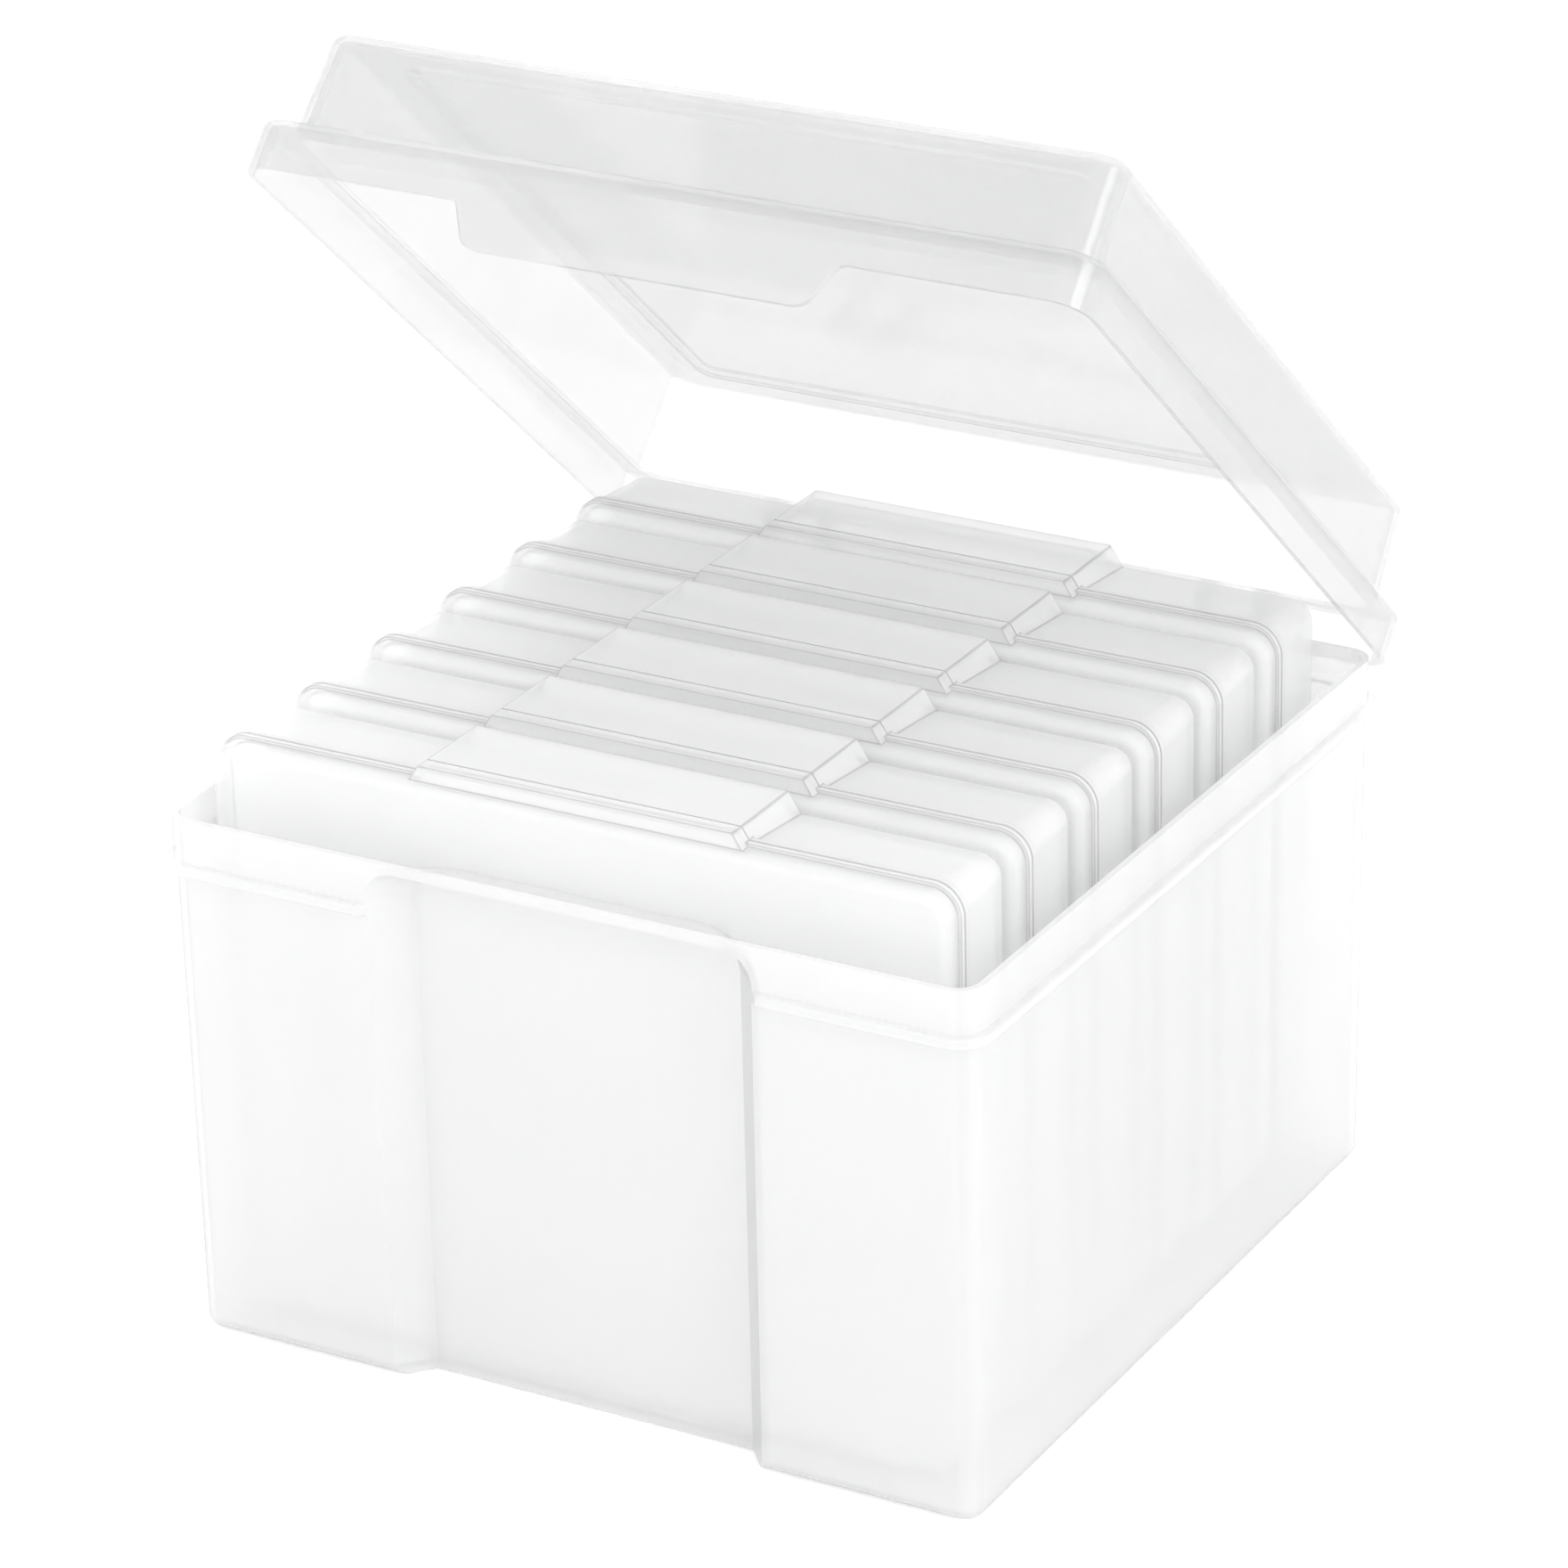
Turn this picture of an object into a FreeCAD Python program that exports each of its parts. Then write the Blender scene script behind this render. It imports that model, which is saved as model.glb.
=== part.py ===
import FreeCAD, Part
import math
import os
import Sketcher

# Photo keeper case: an outer box with a hinged lid that holds six slim photo cases on edge.
# Millimetres and degrees, +Z up, front towards -Y, origin at the centre of the box's foot.
# The lid stands open by lidAngle.

sizes = [
    ("keeperWidth", 213.0, "outer box across its flange, left to right"),
    ("keeperDepth", 212.5, "outer box across its flange, front to back"),
    ("cornerRadius", 8.9, "flange corner seen from above"),
    ("flangeHeight", 121.4, "top of the flange above the ground"),
    ("flangeThickness", 2.6, "flange from its underside to its top"),
    ("flangeFillet", 0.9, "rounding of the flange's outer edges"),
    ("collarHeight", 132.2, "top of the collar that the lid closes over"),
    ("footInset", 3.8, "wall behind the flange's edge at the ground"),
    ("neckInset", 2.9, "wall behind the flange's edge just under it"),
    ("collarInset", 2.3, "collar behind the flange's edge"),
    ("keeperWall", 1.6, "outer box wall"),
    ("keeperFloor", 2.0, "outer box floor"),
    ("footFillet", 3.0, "rounding round the foot"),
    ("mouthHalfWidth", 52.0, "front recess, half its width in the plane of the flange's edge"),
    ("panelHalfWidth", 42.0, "front recess, half the width of its back panel"),
    ("recessInset", 11.45, "front recess, its back panel behind the flange's edge"),
    ("mouthTop", 130.5, "front recess, its top in the plane of the flange's edge"),
    ("panelTop", 128.0, "front recess, top of its back panel"),
    ("recessRadius", 8.0, "front recess, its upper corners"),
    ("hingePlace", 60.0, "hinge centres left and right of the middle"),
    ("hingeReach", 10.35, "hinge axis behind the flange's edge"),
    ("hingeRise", 9.6, "hinge axis above the flange"),
    ("knuckleRadius", 3.0, "round end of the hinge ears and blocks"),
    ("earThickness", 3.0, "one hinge ear, left to right"),
    ("earFootDrop", 25.0, "foot of an ear on the back wall, below the axis"),
    ("earHeelDrop", 13.0, "back lower corner of an ear, below the axis"),
    ("earShoulderGap", 0.3, "shoulder of an ear below the flange's top"),
    ("blockHalfWidth", 6.0, "hinge block on the lid, half its width"),
    ("blockGap", 0.4, "space between a block and an ear"),
    ("pinRadius", 1.5, "hinge pin"),
    ("pinClearance", 0.06, "hole radius less pin radius"),
    ("pinRecess", 0.3, "pin end inside the ear's outer face"),
    ("lidWall", 1.5, "lid wall"),
    ("lidSeatGap", 0.3, "closed lid above the flange"),
    ("rimOverhang", 0.4, "lid's skirt beyond the flange's edge at the front and sides"),
    ("lidBackReach", 6.5, "how much further the lid reaches at the back"),
    ("skirtHeight", 12.4, "lid skirt from its lower edge to the step"),
    ("skirtFillet", 2.0, "rounding at the top of the skirt"),
    ("domeInset", 4.9, "dome inside the skirt, at the step"),
    ("topInset", 5.9, "dome inside the skirt, at the top"),
    ("domeSetback", 2.0, "how much further the dome stands back at the front"),
    ("domeRadius", 8.0, "dome corner seen from above, at the step"),
    ("lidHeadroom", 7.2, "lid's underside above the closed cases' latch plateaus"),
    ("lidTopFillet", 3.0, "rounding round the lid's top"),
    ("panelMargin", 15.0, "sunk panel inside the top of the dome, all round"),
    ("panelSink", 1.0, "depth of the sunk panel"),
    ("panelCorner", 3.0, "corners of the sunk panel"),
    ("tabRootHalfWidth", 48.5, "front tab, half its width at the skirt"),
    ("tabTipHalfWidth", 43.0, "front tab, half its width at its lower edge"),
    ("tabDrop", 11.0, "front tab below the skirt"),
    ("tabRadius", 5.0, "front tab, its lower corners"),
    ("tabRootRadius", 2.5, "front tab, hollow corners at the skirt"),
    ("lidAngle", 42.03, "degrees that the lid stands open"),
    ("caseEndGap", 5.3, "space between a centred photo case and the side walls at the floor"),
    ("caseBackGap", 3.25, "space between the last photo case and the back wall at the floor"),
    ("caseShift", 2.5, "how far the photo cases stand left of the middle"),
    ("caseHeight", 145.9, "photo case, from its lower to its upper rim"),
    ("caseRadius", 7.5, "photo case, corners of its rims"),
    ("caseWall", 1.5, "photo case wall"),
    ("caseGap", 0.9, "space between two photo cases"),
    ("caseFrontGap", 0.3, "space between the recess and the first photo case"),
    ("caseSeatGap", 0.3, "space between the floor and a photo case"),
    ("caseFillet", 2.5, "rounding of a photo case's front"),
    ("trayFillet", 4.0, "rounding of a photo case's back"),
    ("trayDraft", 1.4, "how far a tray narrows on every side towards its back"),
    ("coverDepth", 7.0, "photo case cover, front to back"),
    ("partingGap", 0.2, "space between a cover and its tray"),
    ("rimReach", 0.8, "rims outside the photo case walls"),
    ("rimThickness", 1.6, "one rim, front to back"),
    ("plateauHalfWidth", 40.5, "latch plateau, half its width on top"),
    ("plateauRamp", 2.5, "latch plateau, each sloping end"),
    ("plateauRise", 3.0, "latch plateau above the upper rim"),
    ("plateauSetback", 0.3, "latch plateau behind a case's rounded edge"),
    ("overrun", 2.0, "how far cuts run past what they cut"),
]
caseCount = 6
sameLevel = 1e-4

doc = FreeCAD.newDocument("PhotoKeeperCase")
sheet = doc.addObject("Spreadsheet::Sheet", "Sizes")
for row, (name, value, note) in enumerate(sizes, start=1):
    sheet.set(f"A{row}", name)
    sheet.set(f"B{row}", str(value))
    sheet.set(f"C{row}", note)
    sheet.setAlias(f"B{row}", name)
doc.recompute()

# Places that several pieces share, in the sheet's values.
halfDepth = "Sizes.keeperDepth / 2"
neckHeight = "(Sizes.flangeHeight - Sizes.flangeThickness)"
panelPlane = f"(Sizes.recessInset - {halfDepth})"
hingeY = f"({halfDepth} + Sizes.hingeReach)"
hingeZ = "(Sizes.flangeHeight + Sizes.hingeRise)"
skirtFoot = "(Sizes.flangeHeight + Sizes.lidSeatGap)"
skirtTop = f"({skirtFoot} + Sizes.skirtHeight)"
skirtBack = f"({halfDepth} + Sizes.rimOverhang + Sizes.lidBackReach)"
caseFoot = "(Sizes.keeperFloor + Sizes.caseSeatGap)"
caseTop = f"({caseFoot} + Sizes.caseHeight)"
lidTop = f"({caseTop} + Sizes.plateauRise + Sizes.lidHeadroom + Sizes.lidWall)"
innerInset = "(Sizes.footInset + Sizes.keeperWall)"
caseLength = f"(Sizes.keeperWidth - 2 * ({innerInset} + Sizes.caseEndGap))"
stackFront = f"({panelPlane} + Sizes.keeperWall + Sizes.caseFrontGap)"
stackBack = f"({halfDepth} - {innerInset} - Sizes.caseBackGap)"
allGaps = f"({caseCount - 1} * Sizes.caseGap)"
caseThickness = f"(({stackBack} - {stackFront} - {allGaps}) / {caseCount})"


# An empty body.
def newBody(name):
    body = doc.addObject("PartDesign::Body", name)
    body.Label = name
    return body


# A sketch on one of the body's own origin planes, moved along that plane's normal.
def newSketch(body, name, role, offset):
    sketch = body.newObject("Sketcher::SketchObject", name)
    planes = [feature for feature in body.Origin.OriginFeatures if feature.Role == role]
    sketch.AttachmentSupport = [(planes[0], "")]
    sketch.MapMode = "FlatFace"
    sketch.setExpression("AttachmentOffset.Base.z", offset)
    return sketch


# Adds a constraint whose value follows the sheet.
def bind(sketch, constraint, expression):
    index = sketch.addConstraint(constraint)
    sketch.setExpression(f"Constraints[{index}]", expression)


# A closed outline through corners, each (x, y, radius) in expressions, "0" for a sharp one.
# Each corner is a point set from the origin, the sides run through those points, and an arc
# that touches both sides rounds the corner.
def drawOutline(sketch, corners):
    count = len(corners)
    spots = []
    radii = []
    for x, y, radius in corners:
        spots.append(FreeCAD.Vector(sketch.evalExpression(x), sketch.evalExpression(y), 0))
        radii.append(sketch.evalExpression(radius))
    arrivals = []
    departures = []
    for i in range(count):
        back = (spots[i - 1] - spots[i]).normalize()
        onward = (spots[(i + 1) % count] - spots[i]).normalize()
        reach = radii[i] / math.tan(back.getAngle(onward) / 2)
        arrivals.append(spots[i] + back * reach)
        departures.append(spots[i] + onward * reach)
    sides = []
    for i in range(count):
        side = Part.LineSegment(departures[i], arrivals[(i + 1) % count])
        sides.append(sketch.addGeometry(side))
    for i, (x, y, radius) in enumerate(corners):
        point = sketch.addGeometry(Part.Point(spots[i]), True)
        bind(sketch, Sketcher.Constraint("DistanceX", -1, 1, point, 1, spots[i].x), x)
        bind(sketch, Sketcher.Constraint("DistanceY", -1, 1, point, 1, spots[i].y), y)
        if radius == "0":
            sketch.addConstraint(Sketcher.Constraint("Coincident", sides[i - 1], 2, point, 1))
            sketch.addConstraint(Sketcher.Constraint("Coincident", sides[i], 1, point, 1))
            continue
        sketch.addConstraint(Sketcher.Constraint("PointOnObject", point, 1, sides[i - 1]))
        sketch.addConstraint(Sketcher.Constraint("PointOnObject", point, 1, sides[i]))
        towards = ((arrivals[i] + departures[i]) / 2 - spots[i]).normalize()
        chord = arrivals[i] - spots[i]
        toCentre = math.hypot(chord.Length, radii[i])
        centre = spots[i] + towards * toCentre
        arc = sketch.addGeometry(Part.Arc(arrivals[i], centre - towards * radii[i], departures[i]))
        arriving = 1 if sketch.getPoint(arc, 1).isEqual(arrivals[i], sameLevel) else 2
        sketch.addConstraint(Sketcher.Constraint("Tangent", sides[i - 1], 2, arc, arriving))
        sketch.addConstraint(Sketcher.Constraint("Tangent", sides[i], 1, arc, 3 - arriving))
        bind(sketch, Sketcher.Constraint("Radius", arc, radii[i]), radius)


# Corners of a rectangle that is even about x = 0, all with one radius.
def rectangle(halfWidth, low, high, radius):
    return [
        (f"-({halfWidth})", low, radius),
        (halfWidth, low, radius),
        (halfWidth, high, radius),
        (f"-({halfWidth})", high, radius),
    ]


# The outer box's outline seen from above, a stated inset behind the flange's edge.
def boxOutline(inset):
    halfWidth = f"Sizes.keeperWidth / 2 - {inset}"
    front = f"{inset} - {halfDepth}"
    back = f"{halfDepth} - {inset}"
    return rectangle(halfWidth, front, back, f"Sizes.cornerRadius - {inset}")


# The lid's outline seen from above, a stated inset behind the skirt and a setback more at the front.
def lidOutline(inset, radius, setback="0"):
    halfWidth = f"Sizes.keeperWidth / 2 + Sizes.rimOverhang - {inset}"
    front = f"{inset} + {setback} - Sizes.rimOverhang - {halfDepth}"
    return rectangle(halfWidth, front, f"{skirtBack} - {inset}", radius)


# A level outline at a height.
def levelSketch(body, name, height, corners):
    sketch = newSketch(body, name, "XY_Plane", height)
    drawOutline(sketch, corners)
    return sketch


# An upright outline seen from the front, at a distance y from the middle.
def frontSketch(body, name, place, corners):
    sketch = newSketch(body, name, "XZ_Plane", f"-({place})")
    drawOutline(sketch, corners)
    return sketch


# A prism that runs from its sketch along the sketch's normal, or against it.
def addPad(body, name, sketch, length, against=False):
    pad = body.newObject("PartDesign::Pad", name)
    pad.Profile = sketch
    pad.setExpression("Length", length)
    pad.Reversed = against
    return pad


# Straight-sided solid between two outlines, added or cut.
def addLoft(body, name, first, last, cut=False):
    kind = "PartDesign::SubtractiveLoft" if cut else "PartDesign::AdditiveLoft"
    loft = body.newObject(kind, name)
    loft.Profile = first
    loft.Sections = [last]
    loft.Ruled = True
    return loft


# A pocket from its sketch, against the sketch's normal unless it is turned round.
def cutInto(body, name, sketch, length, turned):
    pocket = body.newObject("PartDesign::Pocket", name)
    pocket.Profile = sketch
    pocket.setExpression("Length", length)
    pocket.Reversed = turned
    return pocket


# Rounds the feature's edges that lie wholly at one y or z.
def roundEdges(body, name, feature, axis, places, radius):
    doc.recompute()
    levels = [feature.evalExpression(place) for place in places]
    edges = []
    for number, edge in enumerate(feature.Shape.Edges, start=1):
        box = edge.BoundBox
        ends = (box.YMin, box.YMax) if axis == "y" else (box.ZMin, box.ZMax)
        if any(all(abs(end - level) < sameLevel for end in ends) for level in levels):
            edges.append(f"Edge{number}")
    fillet = body.newObject("PartDesign::Fillet", name)
    fillet.Base = (feature, edges)
    fillet.setExpression("Radius", radius)
    return fillet


# One solid less another, under the node's name.
def cutAway(name, whole, hollow):
    cut = doc.addObject("Part::Cut", name)
    cut.Label = name
    cut.Base = whole
    cut.Tool = hollow
    return cut


# Outline of the front recess, seen from the front, in a plane a distance ahead of its back
# panel; the skin is the thickness added round it.
def recessOutline(ahead, skin):
    sideSlope = "((Sizes.mouthHalfWidth - Sizes.panelHalfWidth) / Sizes.recessInset)"
    topSlope = "((Sizes.mouthTop - Sizes.panelTop) / Sizes.recessInset)"
    halfWidth = f"Sizes.panelHalfWidth + {sideSlope} * {ahead} + {skin} * sqrt(1 + {sideSlope} ^ 2)"
    top = f"Sizes.panelTop + {topSlope} * {ahead} + {skin} * sqrt(1 + {topSlope} ^ 2)"
    radius = f"Sizes.recessRadius + {skin}"
    return [
        (f"-({halfWidth})", "-Sizes.overrun", "0"),
        (halfWidth, "-Sizes.overrun", "0"),
        (halfWidth, top, radius),
        (f"-({halfWidth})", top, radius),
    ]


# A circle with its centre set from the sketch's origin.
def drawCircle(sketch, x, y, radius):
    centre = FreeCAD.Vector(sketch.evalExpression(x), sketch.evalExpression(y), 0)
    size = sketch.evalExpression(radius)
    circle = sketch.addGeometry(Part.Circle(centre, FreeCAD.Vector(0, 0, 1), size))
    bind(sketch, Sketcher.Constraint("DistanceX", -1, 1, circle, 3, centre.x), x)
    bind(sketch, Sketcher.Constraint("DistanceY", -1, 1, circle, 3, centre.y), y)
    bind(sketch, Sketcher.Constraint("Radius", circle, size), radius)


# A round bar along X on the hinge axis, from one place over a length.
def addBar(body, name, place, length, radius):
    sketch = newSketch(body, f"{name}_outline", "YZ_Plane", place)
    drawCircle(sketch, hingeY, hingeZ, radius)
    return addPad(body, name, sketch, length)


# One ear of the hinge: a bracket on the back wall with a round end on the axis.
def addEar(body, name, place):
    root = f"{halfDepth} - Sizes.neckInset - Sizes.keeperWall / 2"
    shoulder = "Sizes.flangeHeight - Sizes.earShoulderGap"
    front = f"{hingeY} - Sizes.knuckleRadius"
    back = f"{hingeY} + Sizes.knuckleRadius"
    sketch = newSketch(body, f"{name}_outline", "YZ_Plane", place)
    drawOutline(sketch, [
        (root, f"{hingeZ} - Sizes.earFootDrop", "0"),
        (back, f"{hingeZ} - Sizes.earHeelDrop", "0"),
        (back, hingeZ, "0"),
        (front, hingeZ, "0"),
        (front, shoulder, "0"),
        (root, shoulder, "0"),
    ])
    addPad(body, name, sketch, "Sizes.earThickness")
    addBar(body, f"{name}_end", place, "Sizes.earThickness", "Sizes.knuckleRadius")


# One hinge block on the back of the lid, with the pin that reaches into both ears.
def addBlock(body, name, centre):
    start = f"{centre} - Sizes.blockHalfWidth"
    sketch = newSketch(body, f"{name}_outline", "YZ_Plane", start)
    front = f"{skirtBack} - Sizes.skirtFillet"
    low = f"{hingeZ} - Sizes.knuckleRadius"
    high = f"{hingeZ} + Sizes.knuckleRadius"
    drawOutline(sketch, [
        (front, low, "0"),
        (hingeY, low, "0"),
        (hingeY, high, "0"),
        (front, high, "0"),
    ])
    addPad(body, name, sketch, "2 * Sizes.blockHalfWidth")
    addBar(body, f"{name}_end", start, "2 * Sizes.blockHalfWidth", "Sizes.knuckleRadius")
    reach = "(Sizes.blockHalfWidth + Sizes.blockGap + Sizes.earThickness - Sizes.pinRecess)"
    addBar(body, f"{name}_pin", f"{centre} - {reach}", f"2 * {reach}", "Sizes.pinRadius")


# The outer box: a tapered wall, a flange, a collar, the front recess and the hinge ears.
def makeKeeperBody():
    body = newBody("keeper_outside")
    foot = levelSketch(body, "foot_outline", "0", boxOutline("Sizes.footInset"))
    neck = levelSketch(body, "neck_outline", neckHeight, boxOutline("Sizes.neckInset"))
    wall = addLoft(body, "keeper_wall", foot, neck)
    roundEdges(body, "foot_rounding", wall, "z", ["0"], "Sizes.footFillet")
    flange = levelSketch(body, "flange_outline", neckHeight, boxOutline("0"))
    rim = addPad(body, "flange", flange, "Sizes.flangeThickness")
    flangeLevels = [neckHeight, "Sizes.flangeHeight"]
    roundEdges(body, "flange_rounding", rim, "z", flangeLevels, "Sizes.flangeFillet")
    collar = levelSketch(body, "collar_outline", neckHeight, boxOutline("Sizes.collarInset"))
    addPad(body, "collar", collar, "Sizes.collarHeight - " + neckHeight)
    earSpan = "(Sizes.blockHalfWidth + Sizes.blockGap)"
    for side, centre in (("left", "-Sizes.hingePlace"), ("right", "Sizes.hingePlace")):
        addEar(body, f"{side}_inner_ear", f"{centre} + {earSpan}")
        addEar(body, f"{side}_outer_ear", f"{centre} - {earSpan} - Sizes.earThickness")
    before = frontSketch(body, "recess_mouth", f"{panelPlane} - Sizes.recessInset - Sizes.overrun",
                         recessOutline("(Sizes.recessInset + Sizes.overrun)", "0"))
    after = frontSketch(body, "recess_panel", panelPlane, recessOutline("0", "0"))
    addLoft(body, "recess", before, after, cut=True)
    doc.recompute()
    span = "2 * (Sizes.hingePlace + Sizes.blockHalfWidth + Sizes.earThickness + Sizes.overrun)"
    holes = newSketch(body, "pin_hole_outline", "YZ_Plane", f"({span}) / 2")
    drawCircle(holes, hingeY, hingeZ, "Sizes.pinRadius + Sizes.pinClearance")
    bore = body.newObject("PartDesign::Pocket", "pin_holes")
    bore.Profile = holes
    bore.setExpression("Length", span)

    room = newBody("keeper_room")
    innerNeck = "(Sizes.neckInset + Sizes.keeperWall)"
    innerCollar = "(Sizes.collarInset + Sizes.keeperWall)"
    low = levelSketch(room, "room_floor", "Sizes.keeperFloor", boxOutline(innerInset))
    high = levelSketch(room, "room_neck", neckHeight, boxOutline(innerNeck))
    addLoft(room, "room", low, high)
    mouth = levelSketch(room, "room_mouth", neckHeight, boxOutline(innerCollar))
    addPad(room, "room_top", mouth, f"Sizes.collarHeight + Sizes.overrun - {neckHeight}")
    skin = "Sizes.keeperWall"
    outer = frontSketch(room, "bump_mouth", f"{panelPlane} - Sizes.recessInset",
                        recessOutline("Sizes.recessInset", skin))
    inner = frontSketch(room, "bump_panel", f"{panelPlane} + {skin}",
                        recessOutline(f"(-{skin})", skin))
    addLoft(room, "bump", outer, inner, cut=True)
    return cutAway("keeper_body", body, room)


# The lid: a skirt, a step, a low dome, the front tab and the two hinge blocks.
def makeKeeperLid():
    body = newBody("lid_outside")
    skirtCorner = "Sizes.cornerRadius + Sizes.rimOverhang"
    skirt = levelSketch(body, "skirt_outline", skirtFoot, lidOutline("0", skirtCorner))
    rim = addPad(body, "skirt", skirt, "Sizes.skirtHeight")
    roundEdges(body, "skirt_rounding", rim, "z", [skirtTop], "Sizes.skirtFillet")
    topRadius = "Sizes.domeRadius + Sizes.domeInset - Sizes.topInset"
    setback = "Sizes.domeSetback"
    step = levelSketch(body, "dome_foot", skirtTop,
                       lidOutline("Sizes.domeInset", "Sizes.domeRadius", setback))
    top = levelSketch(body, "dome_top", lidTop, lidOutline("Sizes.topInset", topRadius, setback))
    dome = addLoft(body, "dome", step, top)
    roundEdges(body, "dome_rounding", dome, "z", [lidTop], "Sizes.lidTopFillet")
    margin = "(Sizes.topInset + Sizes.panelMargin)"
    panel = levelSketch(body, "panel_outline", lidTop, lidOutline(margin, "Sizes.panelCorner", setback))
    cutInto(body, "panel", panel, "Sizes.panelSink", False)
    front = f"-Sizes.rimOverhang - {halfDepth}"
    root = "(Sizes.tabRootHalfWidth + Sizes.tabRootRadius)"
    neck = "Sizes.tabRootHalfWidth"
    tip = "Sizes.tabTipHalfWidth"
    low = f"{skirtFoot} - Sizes.tabDrop"
    high = f"{skirtFoot} + Sizes.skirtHeight / 2"
    tab = frontSketch(body, "tab_outline", front, [
        (f"-{tip}", low, "Sizes.tabRadius"),
        (tip, low, "Sizes.tabRadius"),
        (neck, skirtFoot, "Sizes.tabRootRadius"),
        (root, skirtFoot, "0"),
        (root, high, "0"),
        (f"-{root}", high, "0"),
        (f"-{root}", skirtFoot, "0"),
        (f"-{neck}", skirtFoot, "Sizes.tabRootRadius"),
    ])
    addPad(body, "tab", tab, "Sizes.lidWall", against=True)
    addBlock(body, "left_block", "-Sizes.hingePlace")
    addBlock(body, "right_block", "Sizes.hingePlace")

    room = newBody("lid_room")
    inner = levelSketch(room, "skirt_room_outline", f"{skirtFoot} - Sizes.overrun",
                        lidOutline("Sizes.lidWall", f"{skirtCorner} - Sizes.lidWall"))
    addPad(room, "skirt_room", inner, "Sizes.overrun + Sizes.skirtHeight - Sizes.lidWall")
    low = levelSketch(room, "dome_room_foot", f"{skirtTop} - Sizes.lidWall",
                      lidOutline("(Sizes.domeInset + Sizes.lidWall)",
                                 "Sizes.domeRadius - Sizes.lidWall", setback))
    ceiling = f"({lidTop} - Sizes.lidWall)"
    high = levelSketch(room, "dome_room_top", ceiling,
                       lidOutline("(Sizes.topInset + Sizes.lidWall)",
                                  f"{topRadius} - Sizes.lidWall", setback))
    hollow = addLoft(room, "dome_room", low, high)
    roundEdges(room, "dome_room_rounding", hollow, "z", [ceiling],
               "Sizes.lidTopFillet - Sizes.lidWall")
    above = levelSketch(room, "panel_room_outline", ceiling,
                        lidOutline(f"({margin} - Sizes.lidWall)",
                                   "Sizes.panelCorner + Sizes.lidWall", setback))
    cutInto(room, "panel_room", above, "Sizes.panelSink", False)

    lid = cutAway("keeper_lid", body, room)
    lid.Placement = FreeCAD.Placement(FreeCAD.Vector(), FreeCAD.Rotation(FreeCAD.Vector(-1, 0, 0), 1))
    lid.setExpression("Placement.Rotation.Angle", "Sizes.lidAngle")
    turn = "Sizes.lidAngle"
    lid.setExpression("Placement.Base.y", f"{hingeY} * (1 - cos({turn})) - {hingeZ} * sin({turn})")
    lid.setExpression("Placement.Base.z", f"{hingeZ} * (1 - cos({turn})) + {hingeY} * sin({turn})")
    return lid


# The latch plateau's outline on top of a case, or that of the hollow under it.
def plateauOutline(skin, sink):
    slope = "(Sizes.plateauRamp / (Sizes.plateauRise + Sizes.rimReach))"
    shift = f"{skin} * sqrt(1 + {slope} ^ 2)"
    top = f"{caseTop} + Sizes.plateauRise - {skin}"
    foot = f"{caseTop} - Sizes.rimReach - {sink}"
    narrow = f"(Sizes.plateauHalfWidth + {slope} * {skin} - {shift})"
    wide = f"(Sizes.plateauHalfWidth + Sizes.plateauRamp + {slope} * {sink} - {shift})"
    return [
        (f"-{wide}", foot, "0"),
        (wide, foot, "0"),
        (narrow, top, "0"),
        (f"-{narrow}", top, "0"),
    ]


# A photo case's outline seen from the front, a stated inset behind its rims.
def caseOutline(inset):
    halfLength = f"{caseLength} / 2 - {inset}"
    low = f"{caseFoot} + {inset}"
    return rectangle(halfLength, low, f"{caseTop} - {inset}", f"Sizes.caseRadius - {inset}")


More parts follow.
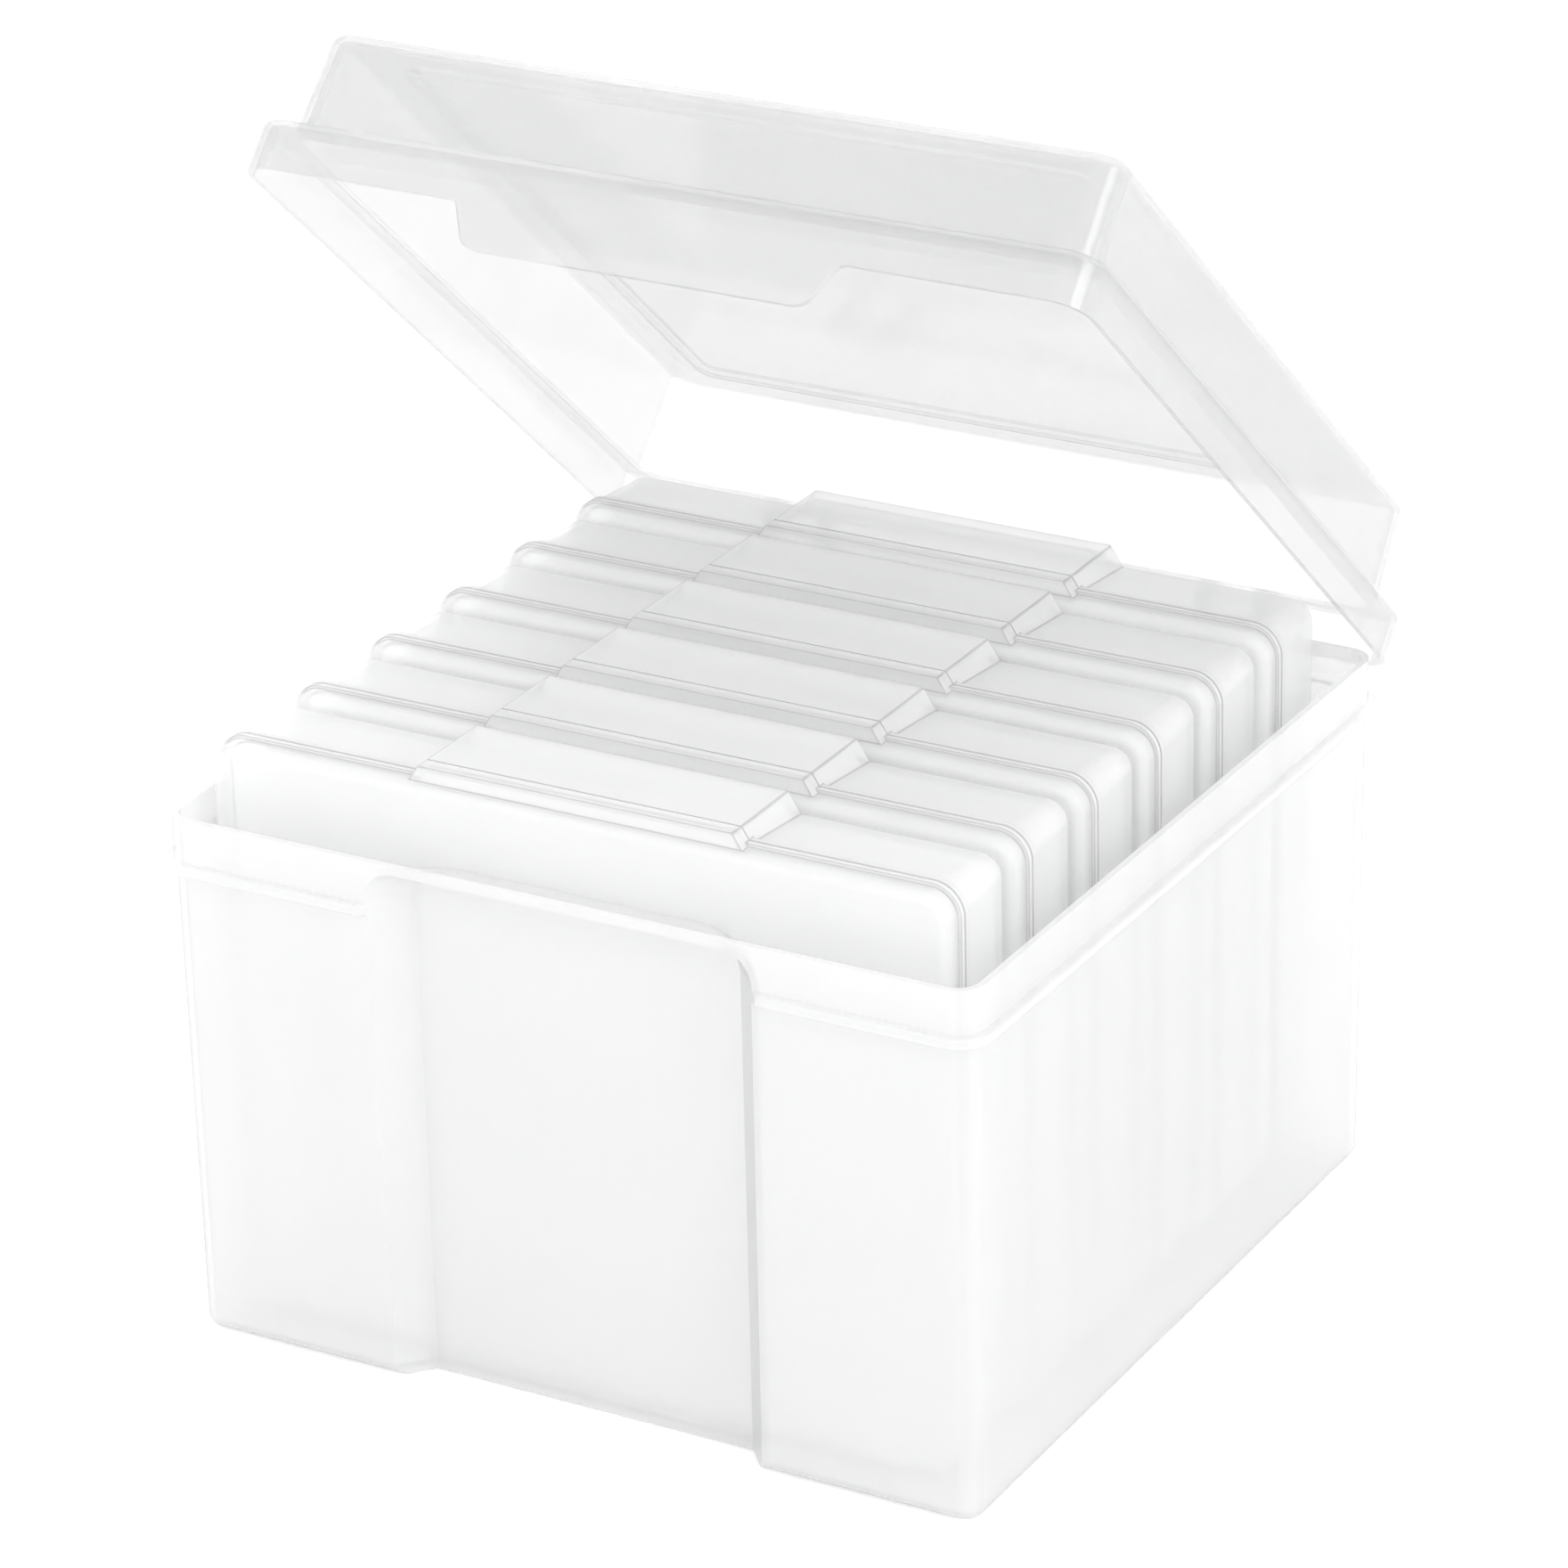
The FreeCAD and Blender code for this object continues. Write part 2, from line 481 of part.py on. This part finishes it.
# One half of a photo case between its closed face and its open parting plane. Facing is 1
# where the closed face is the front one, as on a cover, and -1 on a tray.
def makeHalf(name, closed, parting, facing):
    isCover = facing > 0
    depth = f"({parting} - ({closed}))" if isCover else f"({closed} - ({parting}))"
    draft = "0" if isCover else "Sizes.trayDraft"
    rounding = "Sizes.caseFillet" if isCover else "Sizes.trayFillet"
    outside = newBody(f"{name}_outside")
    shell = frontSketch(outside, f"{name}_shell_outline", parting, caseOutline("Sizes.rimReach"))
    narrowed = f"(Sizes.rimReach + {draft})"
    face = frontSketch(outside, f"{name}_face_outline", closed, caseOutline(narrowed))
    ends = (shell, face) if isCover else (face, shell)
    wall = addLoft(outside, f"{name}_shell", *ends)
    roundEdges(outside, f"{name}_rounding", wall, "y", [closed], rounding)
    rim = frontSketch(outside, f"{name}_rim_outline", parting, caseOutline("0"))
    addPad(outside, f"{name}_rim", rim, "Sizes.rimThickness", against=not isCover)
    setback = "(Sizes.caseFillet + Sizes.plateauSetback)"
    sink = f"({draft} + Sizes.caseWall / 2)"
    raised = frontSketch(outside, f"{name}_plateau_outline", parting, plateauOutline("0", sink))
    addPad(outside, f"{name}_plateau", raised, f"{depth} - {setback}", against=not isCover)

    room = newBody(f"{name}_room")
    skin = "(Sizes.rimReach + Sizes.caseWall)"
    floor = f"({closed} + Sizes.caseWall)" if isCover else f"({closed} - Sizes.caseWall)"
    beyond = f"({parting} + Sizes.overrun)" if isCover else f"({parting} - Sizes.overrun)"
    opening = frontSketch(room, f"{name}_hollow_outline", parting, caseOutline(skin))
    bottom = frontSketch(room, f"{name}_floor_outline", floor, caseOutline(f"({skin} + {draft})"))
    ends = (opening, bottom) if isCover else (bottom, opening)
    hollow = addLoft(room, f"{name}_hollow", *ends)
    roundEdges(room, f"{name}_hollow_rounding", hollow, "y", [floor], f"{rounding} - Sizes.caseWall")
    mouth = frontSketch(room, f"{name}_mouth_outline", beyond, caseOutline(skin))
    addPad(room, f"{name}_mouth", mouth, "Sizes.overrun", against=not isCover)
    under = frontSketch(room, f"{name}_latch_outline", beyond,
                        plateauOutline("Sizes.caseWall", f"({sink} + Sizes.caseWall + Sizes.overrun)"))
    reach = f"Sizes.overrun + {depth} - {setback} - Sizes.caseWall"
    addPad(room, f"{name}_latch", under, reach, against=not isCover)
    half = cutAway(name, outside, room)
    half.setExpression("Placement.Base.x", "-Sizes.caseShift")
    return half


nodes = [makeKeeperBody(), makeKeeperLid()]
for number in range(caseCount):
    front = f"({stackFront} + {number} * ({caseThickness} + Sizes.caseGap))"
    seam = f"({front} + Sizes.coverDepth)"
    back = f"({front} + {caseThickness})"
    nodes.append(makeHalf(f"photo_case_{number + 1}_cover", front, seam, 1))
    nodes.append(makeHalf(f"photo_case_{number + 1}_tray", back, f"({seam} + Sizes.partingGap)", -1))
doc.recompute()

for feature in doc.Objects:
    if "Invalid" in feature.State or "Error" in feature.State:
        raise RuntimeError(f"{feature.Name} did not compute")
os.makedirs("parts", exist_ok=True)
for node in nodes:
    shape = node.Shape
    if shape.isNull() or not shape.isValid() or len(shape.Solids) != 1:
        raise RuntimeError(f"{node.Label} isn't one valid solid")
    shape.exportStep(f"parts/{node.Label}.step")
    box = shape.BoundBox
    print(f"{node.Label}: {shape.Volume:.0f} mm3, x {box.XMin:.2f} to {box.XMax:.2f},",
          f"y {box.YMin:.2f} to {box.YMax:.2f}, z {box.ZMin:.2f} to {box.ZMax:.2f}")
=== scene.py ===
import math

import bpy
from mathutils import Euler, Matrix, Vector

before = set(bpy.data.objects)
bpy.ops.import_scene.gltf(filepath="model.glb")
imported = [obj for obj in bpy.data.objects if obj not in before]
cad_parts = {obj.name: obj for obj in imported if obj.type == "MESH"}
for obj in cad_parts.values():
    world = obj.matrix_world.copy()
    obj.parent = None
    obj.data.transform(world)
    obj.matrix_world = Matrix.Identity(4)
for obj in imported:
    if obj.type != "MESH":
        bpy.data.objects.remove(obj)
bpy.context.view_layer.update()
print("frame loaded:", len(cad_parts), "nodes")

# The camera stands where the photograph was taken from; tilt and roll turn it a little
# after it has been aimed, and the focal length is in pixels of the square picture.
viewpoint = {
    "place": (0.72194, -1.26678, 0.77572),
    "target": (0.0, 0.0, 0.1065),
    "tilt": 0.0071,
    "sideways": 0.0001,
    "roll": -0.0236,
    "focalPixels": 7689.8,
    "picturePixels": 1760,
    "sensorWidth": 36.0,
    "nearest": 0.05,
}


def placeCamera(view):
    lens = bpy.data.cameras.new("photoCamera")
    lens.sensor_width = view["sensorWidth"]
    lens.lens = view["focalPixels"] / view["picturePixels"] * view["sensorWidth"]
    lens.clip_start = view["nearest"]
    camera = bpy.data.objects.new("photoCamera", lens)
    bpy.context.scene.collection.objects.link(camera)
    aim = (Vector(view["target"]) - Vector(view["place"])).to_track_quat("-Z", "Y")
    turn = Euler((view["tilt"], view["sideways"], view["roll"])).to_matrix()
    camera.rotation_euler = (aim.to_matrix() @ turn).to_euler()
    camera.location = view["place"]
    bpy.context.scene.camera = camera


placeCamera(viewpoint)
print("camera placed")

# A bright tent, white all round and a little brighter overhead; level is the strength of
# its light on the object. Each window is a softbox far away: where it stands, how many
# degrees wide it is, its soft border and how bright it looks in a mirror; window light is
# the share of that which lights the object.
studio = {
    "horizon": 1.0,
    "overhead": 1.06,
    "horizonHeight": 0.15,
    "overheadHeight": 0.8,
    "level": 1.1,
    "windowLight": 0.4,
    "windows": {
        "sideWindow": {
            "towards": (0.85, -0.2, 0.47), "width": 20.0, "border": 9.0, "gain": 6.0,
        },
        "frontWindow": {
            "towards": (0.15, -0.8, 0.7), "width": 20.0, "border": 9.0, "gain": 3.0,
        },
    },
    "floorColor": (0.96, 0.96, 0.96, 1.0),
    "floorRoughness": 0.9,
    "floorGlow": 0.16,
    "floorDrop": 0.0003,
    "floorSize": 12.0,
}


def addNode(tree, kind, operation=None):
    node = tree.nodes.new(kind)
    if operation:
        node.operation = operation
    return node


# One for what the eye, a mirror and clear plastic see, none for the light on the object.
def addSightSwitch(tree):
    path = addNode(tree, "ShaderNodeLightPath")
    last = path.outputs["Is Camera Ray"]
    for kind in ("Is Glossy Ray", "Is Transmission Ray"):
        either = addNode(tree, "ShaderNodeMath", "MAXIMUM")
        tree.links.new(last, either.inputs[0])
        tree.links.new(path.outputs[kind], either.inputs[1])
        last = either.outputs[0]
    return last


def makeWorld(look):
    world = bpy.data.worlds.new("studioTent")
    bpy.context.scene.world = world
    world.use_nodes = True
    tree = world.node_tree
    tree.nodes.clear()
    place = addNode(tree, "ShaderNodeTexCoord")
    split = addNode(tree, "ShaderNodeSeparateXYZ")
    ramp = addNode(tree, "ShaderNodeValToRGB")
    low, high = ramp.color_ramp.elements
    low.position, high.position = look["horizonHeight"], look["overheadHeight"]
    low.color = (look["horizon"],) * 3 + (1,)
    high.color = (look["overhead"],) * 3 + (1,)
    tree.links.new(place.outputs["Generated"], split.inputs[0])
    tree.links.new(split.outputs["Z"], ramp.inputs[0])
    total = None
    for window in look["windows"].values():
        towards = addNode(tree, "ShaderNodeVectorMath", "DOT_PRODUCT")
        towards.inputs[1].default_value = Vector(window["towards"]).normalized()
        patch = addNode(tree, "ShaderNodeMapRange")
        patch.interpolation_type = "SMOOTHSTEP"
        inside = math.radians(window["width"] / 2)
        outside = inside + math.radians(window["border"])
        patch.inputs["From Min"].default_value = math.cos(outside)
        patch.inputs["From Max"].default_value = math.cos(inside)
        patch.inputs["To Max"].default_value = window["gain"]
        both = addNode(tree, "ShaderNodeMath", "ADD")
        both.inputs[1].default_value = 0.0
        tree.links.new(place.outputs["Generated"], towards.inputs[0])
        tree.links.new(towards.outputs["Value"], patch.inputs["Value"])
        tree.links.new(patch.outputs["Result"], both.inputs[0])
        if total:
            tree.links.new(total, both.inputs[1])
        total = both.outputs[0]
    lit = addNode(tree, "ShaderNodeBackground")
    seen = addNode(tree, "ShaderNodeBackground")
    lit.inputs["Strength"].default_value = look["level"]
    mix = addNode(tree, "ShaderNodeMixShader")
    out = addNode(tree, "ShaderNodeOutputWorld")
    for background, share in ((lit, look["windowLight"]), (seen, 1.0)):
        glow = addNode(tree, "ShaderNodeVectorMath", "MULTIPLY_ADD")
        glow.inputs[1].default_value = (share,) * 3
        tree.links.new(total, glow.inputs[0])
        tree.links.new(ramp.outputs["Color"], glow.inputs[2])
        tree.links.new(glow.outputs[0], background.inputs["Color"])
    tree.links.new(addSightSwitch(tree), mix.inputs[0])
    tree.links.new(lit.outputs[0], mix.inputs[1])
    tree.links.new(seen.outputs[0], mix.inputs[2])
    tree.links.new(mix.outputs[0], out.inputs[0])
    world.cycles.sampling_method = "NONE"  # an even tent needs no aimed light rays


# White paper that glows a little for the eye, in mirrors and through clear plastic, and
# keeps its shadow.
def makeFloor(look):
    bpy.ops.mesh.primitive_plane_add(
        size=look["floorSize"], location=(0, 0, -look["floorDrop"]))
    floor = bpy.context.active_object
    floor.name = "studioFloor"
    finish = bpy.data.materials.new("floorPaper")
    finish.use_nodes = True
    tree = finish.node_tree
    shader = tree.nodes["Principled BSDF"]
    shader.inputs["Base Color"].default_value = look["floorColor"]
    shader.inputs["Roughness"].default_value = look["floorRoughness"]
    shader.inputs["Specular IOR Level"].default_value = 0.0
    shader.inputs["Emission Color"].default_value = (1, 1, 1, 1)
    glow = addNode(tree, "ShaderNodeMath", "MULTIPLY")
    glow.inputs[1].default_value = look["floorGlow"]
    tree.links.new(addSightSwitch(tree), glow.inputs[0])
    tree.links.new(glow.outputs[0], shader.inputs["Emission Strength"])
    floor.data.materials.append(finish)


makeWorld(studio)
makeFloor(studio)
print("studio made")


# What all the moulded pieces share: how soft the flow marks are, how much they change the
# shine, how close points are joined, and how many steps round a corner.
moulding = {
    "cloudDetail": 1.0,
    "shineSpread": 0.15,
    "joinDistance": 0.00001,
    "cornerSteps": 2,
    "cornerSlot": 1,
}


# Moulded plastic. Veil is how much a milky wall hides of what is behind it, seen square on
# and at its edges; at its edges its colour is also painted greyer, a painted shade that
# draws dark outlines. Clear is the share of it that bends light as glass does. Clouding is
# how much the faint flow marks change the veil.
def makePlastic(name, look):
    finish = bpy.data.materials.new(name)
    finish.use_nodes = True
    tree = finish.node_tree
    link = tree.links.new
    shader = tree.nodes["Principled BSDF"]
    place = addNode(tree, "ShaderNodeTexCoord")
    clouds = addNode(tree, "ShaderNodeTexNoise")
    clouds.inputs["Scale"].default_value = look["cloudScale"]
    clouds.inputs["Detail"].default_value = moulding["cloudDetail"]
    link(place.outputs["Object"], clouds.inputs["Vector"])
    edge = addNode(tree, "ShaderNodeLayerWeight")
    sharpen = addNode(tree, "ShaderNodeMath", "POWER")
    sharpen.inputs[1].default_value = look["edgeSharpness"]
    # Painted shade: towards grazing angles the colour turns to the painted edge shade,
    # drawing dark outlines.
    edgeShadeMix = addNode(tree, "ShaderNodeMix")
    edgeShadeMix.data_type = "RGBA"
    edgeShadeMix.inputs["A"].default_value = look["color"]
    edgeShadeMix.inputs["B"].default_value = look["paintedEdgeShade"]
    link(edge.outputs["Facing"], sharpen.inputs[0])
    link(sharpen.outputs[0], edgeShadeMix.inputs["Factor"])
    link(edgeShadeMix.outputs["Result"], shader.inputs["Base Color"])
    milk = addNode(tree, "ShaderNodeMapRange")
    milk.inputs["To Min"].default_value = look["veil"] * (1 - look["clouding"])
    milk.inputs["To Max"].default_value = look["veil"] * (1 + look["clouding"])
    veil = addNode(tree, "ShaderNodeMix")
    veil.inputs["B"].default_value = look["edgeVeil"]
    link(clouds.outputs["Fac"], milk.inputs["Value"])
    link(sharpen.outputs[0], veil.inputs["Factor"])
    link(milk.outputs["Result"], veil.inputs["A"])
    link(veil.outputs["Result"], shader.inputs["Alpha"])
    shine = addNode(tree, "ShaderNodeMapRange")
    shine.inputs["To Min"].default_value = look["roughness"] * (1 - moulding["shineSpread"])
    shine.inputs["To Max"].default_value = look["roughness"] * (1 + moulding["shineSpread"])
    link(clouds.outputs["Fac"], shine.inputs["Value"])
    link(shine.outputs["Result"], shader.inputs["Roughness"])
    shader.inputs["Transmission Weight"].default_value = look["clear"]
    shader.inputs["IOR"].default_value = look["ior"]
    return finish


# The finish of the rounded corners, painted as the thin lines that clear plastic shows
# along
# its edges: a painted highlight where its colour is white, painted shade where it is grey.
def cornerLook(look):
    return look | {"color": look["paintedCornerLine"], "veil": look["cornerVeil"],
                   "roughness": look["cornerRoughness"], "clear": 0.0}


def roundCorners(node, look):
    weld = node.modifiers.new("joinFaces", "WELD")
    weld.merge_threshold = moulding["joinDistance"]
    bevel = node.modifiers.new("softCorners", "BEVEL")
    bevel.width = look["cornerWidth"]
    bevel.segments = moulding["cornerSteps"]
    bevel.limit_method = "ANGLE"
    bevel.angle_limit = math.radians(look["cornerAngle"])
    bevel.material = moulding["cornerSlot"]
    even = node.modifiers.new("evenShading", "WEIGHTED_NORMAL")
    even.keep_sharp = False


def dressPieces(kind, look, names):
    finishes = [makePlastic(kind + "Plastic", look),
                makePlastic(kind + "Corner", cornerLook(look))]
    for name in names:
        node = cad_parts[name]
        node.data.materials.clear()
        for finish in finishes:
            node.data.materials.append(finish)
        roundCorners(node, look)
    print(kind, "dressed:", len(names))


# The outer box: milky, with a satin skin; its outlines are painted dark grey as painted
# shade and its rounded corners are painted white as painted highlight lines.
keeperBody = {
    "color": (0.905, 0.907, 0.907, 1), "paintedEdgeShade": (0.30, 0.31, 0.31, 1),
    "edgeSharpness": 5.0, "veil": 0.46, "edgeVeil": 1.0, "clear": 0.0,
    "roughness": 0.3, "ior": 1.49, "clouding": 0.12, "cloudScale": 14.0,
    "paintedCornerLine": (0.99, 0.99, 0.99, 1), "cornerVeil": 0.95, "cornerRoughness": 0.15,
    "cornerWidth": 0.0004, "cornerAngle": 35.0,
}
dressPieces("keeper", keeperBody, ["keeper_body"])

# The lid: clearer and shinier than the box, and a little greyer; its outlines and rounded
# corners are painted grey as painted shade.
keeperLid = {
    "color": (0.745, 0.748, 0.748, 1), "paintedEdgeShade": (0.34, 0.35, 0.35, 1),
    "edgeSharpness": 4.5, "veil": 0.48, "edgeVeil": 0.95, "clear": 0.7,
    "roughness": 0.1, "ior": 1.49, "clouding": 0.08, "cloudScale": 24.0,
    "paintedCornerLine": (0.62, 0.62, 0.62, 1), "cornerVeil": 0.7, "cornerRoughness": 0.08,
    "cornerWidth": 0.0004, "cornerAngle": 35.0,
}
dressPieces("lid", keeperLid, ["keeper_lid"])

# The six photo cases: thin-walled and almost white, with grey lines painted along their
# rims and outlines as painted shade.
photoCases = {
    "color": (0.99, 0.992, 0.992, 1), "paintedEdgeShade": (0.75, 0.76, 0.76, 1),
    "edgeSharpness": 8.0, "veil": 0.38, "edgeVeil": 1.0, "clear": 0.0,
    "roughness": 0.15, "ior": 1.49, "clouding": 0.1, "cloudScale": 26.0,
    "paintedCornerLine": (0.52, 0.52, 0.52, 1), "cornerVeil": 0.6, "cornerRoughness": 0.1,
    "cornerWidth": 0.0003, "cornerAngle": 35.0,
}
caseNames = [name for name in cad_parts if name.startswith("photo_case")]
dressPieces("case", photoCases, caseNames)

# How often light may bounce; it passes many thin walls here.
bounces = {"all": 20, "diffuse": 14, "glossy": 8, "transmission": 16, "seeThrough": 96}
scene = bpy.context.scene
scene.view_settings.view_transform = "Standard"
scene.cycles.max_bounces = bounces["all"]
scene.cycles.diffuse_bounces = bounces["diffuse"]
scene.cycles.glossy_bounces = bounces["glossy"]
scene.cycles.transmission_bounces = bounces["transmission"]
scene.cycles.transparent_max_bounces = bounces["seeThrough"]
print("light bounces set")
